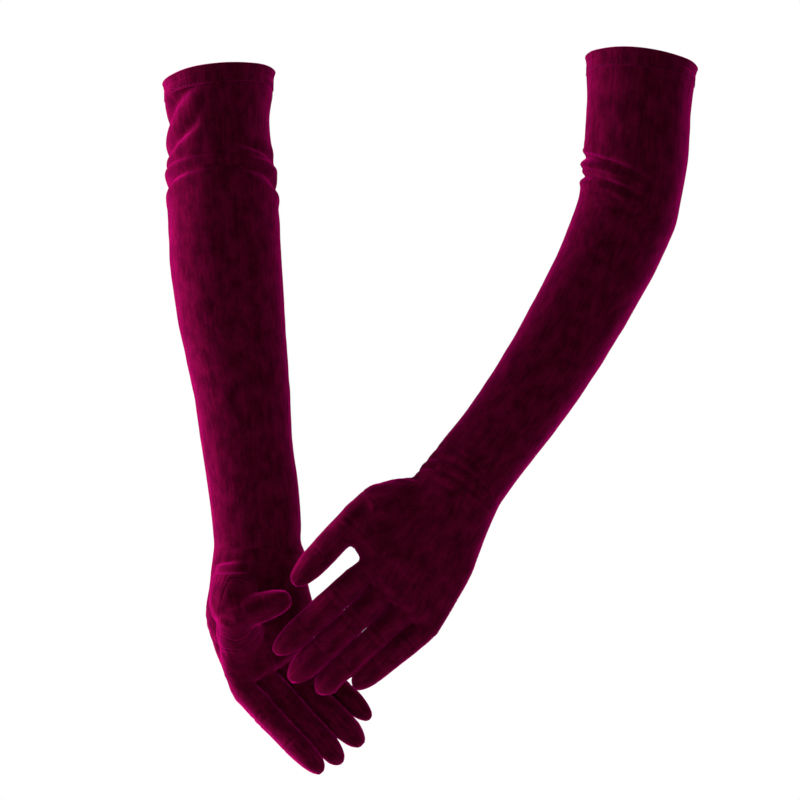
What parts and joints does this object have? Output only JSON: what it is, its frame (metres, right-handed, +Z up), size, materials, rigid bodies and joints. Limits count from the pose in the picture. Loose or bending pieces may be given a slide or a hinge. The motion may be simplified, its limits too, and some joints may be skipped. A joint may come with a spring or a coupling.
{
  "type": "opera gloves",
  "caption": "Pair of elbow-length stretch velvet opera gloves with folded elastic hems, in the shape of two wearing arms.",
  "frame": {"origin": "centre of the right glove's arm opening, at the hem's top edge", "axes": "+Z up along the hanging gloves, +X toward the left glove, +Y away from the viewer who faces the back of the left hand"},
  "size_m": [0.3848, 0.0939, 0.5138],
  "materials": {
    "velvet": "short pile stretch velvet with a strong sheen at grazing angles",
    "hem_tape": "woven elastic tape",
    "thread": "matte sewing thread"
  },
  "bodies": {
    "right_upper_sleeve": {"right_hem_band": "velvet", "right_hem_elastic": "hem_tape", "right_hem_stitching": "thread", "right_upper_sleeve_front": "velvet", "right_upper_sleeve_back": "velvet"},
    "right_forearm": {"right_forearm_front": "velvet", "right_forearm_back": "velvet"},
    "right_hand": {"right_hand_back": "velvet", "right_palm": "velvet", "right_thumb_gusset": "velvet"},
    "right_thumb": {"right_thumb_back": "velvet", "right_thumb_front": "velvet"},
    "right_index": {"right_index_back": "velvet", "right_index_front": "velvet", "right_index_fourchette": "velvet"},
    "right_middle": {"right_middle_back": "velvet", "right_middle_front": "velvet", "right_middle_inner_fourchette": "velvet", "right_middle_outer_fourchette": "velvet"},
    "right_ring": {"right_ring_back": "velvet", "right_ring_front": "velvet", "right_ring_inner_fourchette": "velvet", "right_ring_outer_fourchette": "velvet"},
    "right_little": {"right_little_back": "velvet", "right_little_front": "velvet", "right_little_fourchette": "velvet"},
    "left_upper_sleeve": {"left_hem_band": "velvet", "left_hem_elastic": "hem_tape", "left_hem_stitching": "thread", "left_upper_sleeve_front": "velvet", "left_upper_sleeve_back": "velvet"},
    "left_forearm": {"left_forearm_front": "velvet", "left_forearm_back": "velvet"},
    "left_hand": {"left_hand_back": "velvet", "left_palm": "velvet", "left_thumb_gusset": "velvet"},
    "left_thumb": {"left_thumb_back": "velvet", "left_thumb_front": "velvet"},
    "left_index": {"left_index_back": "velvet", "left_index_front": "velvet", "left_index_fourchette": "velvet"},
    "left_middle": {"left_middle_back": "velvet", "left_middle_front": "velvet", "left_middle_inner_fourchette": "velvet", "left_middle_outer_fourchette": "velvet"},
    "left_ring": {"left_ring_back": "velvet", "left_ring_front": "velvet", "left_ring_inner_fourchette": "velvet", "left_ring_outer_fourchette": "velvet"},
    "left_little": {"left_little_back": "velvet", "left_little_front": "velvet", "left_little_fourchette": "velvet"}
  },
  "joints": [
    {"name": "right_elbow", "type": "hinge", "parent": "right_upper_sleeve", "child": "right_forearm", "pos_m": [0.0015, -0.0388, -0.0655], "axis": [-1, 0, 0], "range_deg": [0, 60]},
    {"name": "right_wrist", "type": "hinge", "parent": "right_forearm", "child": "right_hand", "pos_m": [0.0285, 0.0233, -0.3385], "axis": [1, 0, 0], "range_deg": [0, 8]},
    {"name": "left_glove_lift", "type": "slide", "parent": "right_forearm", "child": "left_forearm", "axis": [0, -1, 0], "range_m": [0, 0.15]},
    {"name": "left_elbow", "type": "hinge", "parent": "left_forearm", "child": "left_upper_sleeve", "pos_m": [0.2607, 0.00699, -0.08445], "axis": [0.0054, -0.9998, 0.0193], "range_deg": [0, 45]},
    {"name": "left_wrist", "type": "hinge", "parent": "left_forearm", "child": "left_hand", "pos_m": [0.17894, -0.04708, -0.28641], "axis": [-0.8, 0, 0.6], "range_deg": [0, 40]},
    {"name": "right_thumb_hinge", "type": "hinge", "parent": "right_hand", "child": "right_thumb", "pos_m": [0.00185, -0.04142, -0.38667], "axis": [-0.1961, 0, -0.9806], "range_deg": [0, 25]},
    {"name": "right_index_knuckle", "type": "hinge", "parent": "right_hand", "child": "right_index", "pos_m": [0.01191, -0.00089, -0.43774], "axis": [0.7698, 0.4859, 0.4139], "range_deg": [0, 30]},
    {"name": "right_middle_knuckle", "type": "hinge", "parent": "right_hand", "child": "right_middle", "pos_m": [0.02615, 0.00809, -0.43009], "axis": [0.7698, 0.4859, 0.4139], "range_deg": [0, 30]},
    {"name": "right_ring_knuckle", "type": "hinge", "parent": "right_hand", "child": "right_ring", "pos_m": [0.04039, 0.01708, -0.42243], "axis": [0.7698, 0.4859, 0.4139], "range_deg": [0, 30]},
    {"name": "right_little_knuckle", "type": "hinge", "parent": "right_hand", "child": "right_little", "pos_m": [0.05516, 0.02522, -0.41474], "axis": [0.7698, 0.4859, 0.4139], "range_deg": [0, 30]},
    {"name": "left_thumb_hinge", "type": "hinge", "parent": "left_hand", "child": "left_thumb", "pos_m": [0.11215, -0.04536, -0.30288], "axis": [-0.6392, 0, 0.769], "range_deg": [0, 25]},
    {"name": "left_index_knuckle", "type": "hinge", "parent": "left_hand", "child": "left_index", "pos_m": [0.10844, -0.04755, -0.35148], "axis": [-0.7297, 0, 0.6837], "range_deg": [0, 30]},
    {"name": "left_middle_knuckle", "type": "hinge", "parent": "left_hand", "child": "left_middle", "pos_m": [0.12274, -0.04755, -0.36488], "axis": [-0.7297, 0, 0.6837], "range_deg": [0, 30]},
    {"name": "left_ring_knuckle", "type": "hinge", "parent": "left_hand", "child": "left_ring", "pos_m": [0.13705, -0.04755, -0.37828], "axis": [-0.7297, 0, 0.6837], "range_deg": [0, 30]},
    {"name": "left_little_knuckle", "type": "hinge", "parent": "left_hand", "child": "left_little", "pos_m": [0.15128, -0.04655, -0.39175], "axis": [-0.7297, 0, 0.6837], "range_deg": [0, 30]}
  ]
}
